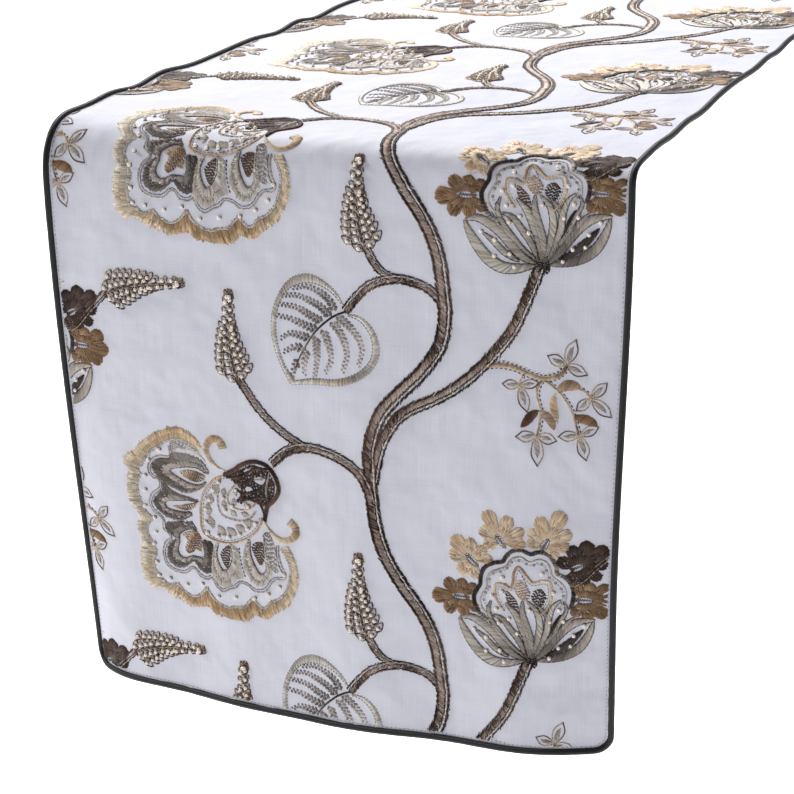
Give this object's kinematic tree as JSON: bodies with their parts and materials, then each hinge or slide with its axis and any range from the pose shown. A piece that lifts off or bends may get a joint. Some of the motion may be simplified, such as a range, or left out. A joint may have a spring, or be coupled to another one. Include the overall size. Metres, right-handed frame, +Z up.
{
  "type": "table runner",
  "caption": "Long embroidered table runner with piped edges, lying over a table top with both ends hanging down.",
  "frame": {"origin": "on the underside of the runner, at the middle of the part that lies on the table top", "axes": "+Y along the length, away from the front end; +X across the width; +Z up, out of the table top"},
  "size_m": [0.406, 1.5142, 0.4044],
  "materials": {
    "face_cloth": "fine plain weave with a slight slub, matt",
    "interlining": "soft brushed cotton, matt",
    "lining": "plain cotton, matt",
    "piping_satin": "charcoal satin cut on the bias, soft gloss",
    "piping_cord": "twisted cotton cord, matt",
    "seam_thread": "charcoal sewing thread",
    "vine_thread": "shaded brown embroidery thread, satin",
    "cream_thread": "shaded cream embroidery thread, satin",
    "gold_thread": "gold embroidery thread, satin",
    "silver_thread": "silver-grey embroidery thread, satin",
    "tan_thread": "tan and brown embroidery thread, satin",
    "pearl": "pearl lustre"
  },
  "bodies": {
    "table_span": {"span_face": "face_cloth", "span_interlining": "interlining", "span_lining": "lining", "span_piping_cover": "piping_satin", "span_piping_cord": "piping_cord", "span_seam_stitches": "seam_thread", "span_vines": "vine_thread", "span_heart_leaves": "cream_thread", "span_fan_borders": "gold_thread", "span_fan_petals": "silver_thread", "span_crown_blooms": "silver_thread", "span_crown_florets": "tan_thread", "span_spikes": "tan_thread", "span_trefoils": "cream_thread", "span_pearls": "pearl", "front_fold_face": "face_cloth", "front_fold_interlining": "interlining", "front_fold_lining": "lining", "front_fold_piping_cover": "piping_satin", "front_fold_piping_cord": "piping_cord", "back_fold_face": "face_cloth", "back_fold_interlining": "interlining", "back_fold_lining": "lining", "back_fold_piping_cover": "piping_satin", "back_fold_piping_cord": "piping_cord"},
    "front_drop": {"front_face": "face_cloth", "front_interlining": "interlining", "front_lining": "lining", "front_piping_cover": "piping_satin", "front_piping_cord": "piping_cord", "front_seam_stitches": "seam_thread", "front_vines": "vine_thread", "front_heart_leaves": "cream_thread", "front_fan_borders": "gold_thread", "front_fan_petals": "silver_thread", "front_crown_blooms": "silver_thread", "front_crown_florets": "tan_thread", "front_spikes": "tan_thread", "front_trefoils": "cream_thread", "front_pearls": "pearl"},
    "back_drop": {"back_face": "face_cloth", "back_interlining": "interlining", "back_lining": "lining", "back_piping_cover": "piping_satin", "back_piping_cord": "piping_cord", "back_seam_stitches": "seam_thread", "back_vines": "vine_thread", "back_heart_leaves": "cream_thread", "back_fan_borders": "gold_thread", "back_fan_petals": "silver_thread", "back_crown_blooms": "silver_thread", "back_crown_florets": "tan_thread", "back_spikes": "tan_thread", "back_trefoils": "cream_thread", "back_pearls": "pearl"}
  },
  "joints": [
    {"name": "front_end_lift", "type": "hinge", "parent": "table_span", "child": "front_drop", "pos_m": [0, -0.74787, -0.00487], "axis": [-1, 0, 0], "range_deg": [0, 90], "deforming": ["front_fold_face", "front_fold_interlining", "front_fold_lining", "front_fold_piping_cover", "front_fold_piping_cord"]},
    {"name": "back_end_lift", "type": "hinge", "parent": "table_span", "child": "back_drop", "pos_m": [0, 0.74787, -0.00487], "axis": [1, 0, 0], "range_deg": [0, 90], "deforming": ["back_fold_face", "back_fold_interlining", "back_fold_lining", "back_fold_piping_cover", "back_fold_piping_cord"]}
  ]
}
